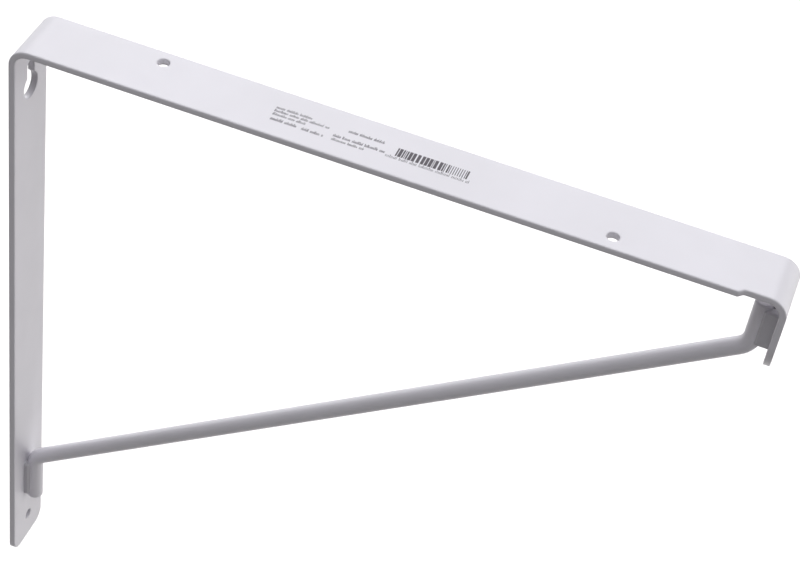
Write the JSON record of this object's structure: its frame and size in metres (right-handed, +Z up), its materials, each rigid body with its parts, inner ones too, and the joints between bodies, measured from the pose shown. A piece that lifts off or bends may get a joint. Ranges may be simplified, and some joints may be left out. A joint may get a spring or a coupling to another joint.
{
  "type": "shelf bracket",
  "caption": "Welded steel shelf bracket: a flat strap bent into a wall leg, a shelf arm and a short front lip, braced by a round rod.",
  "frame": {"origin": "centre of the lower wall screw hole, on the wall plane (the leg's back face)", "axes": "+X away from the wall along the shelf arm, +Y across the strap, +Z up along the leg"},
  "size_m": [0.34, 0.03, 0.331],
  "materials": {
    "powder_coat": "white powder coat, satin"
  },
  "bodies": {
    "root": {"strap": "powder_coat", "brace_rod": "powder_coat", "lower_weld_near": "powder_coat", "lower_weld_far": "powder_coat", "upper_weld_near": "powder_coat", "upper_weld_far": "powder_coat"}
  },
  "joints": []
}
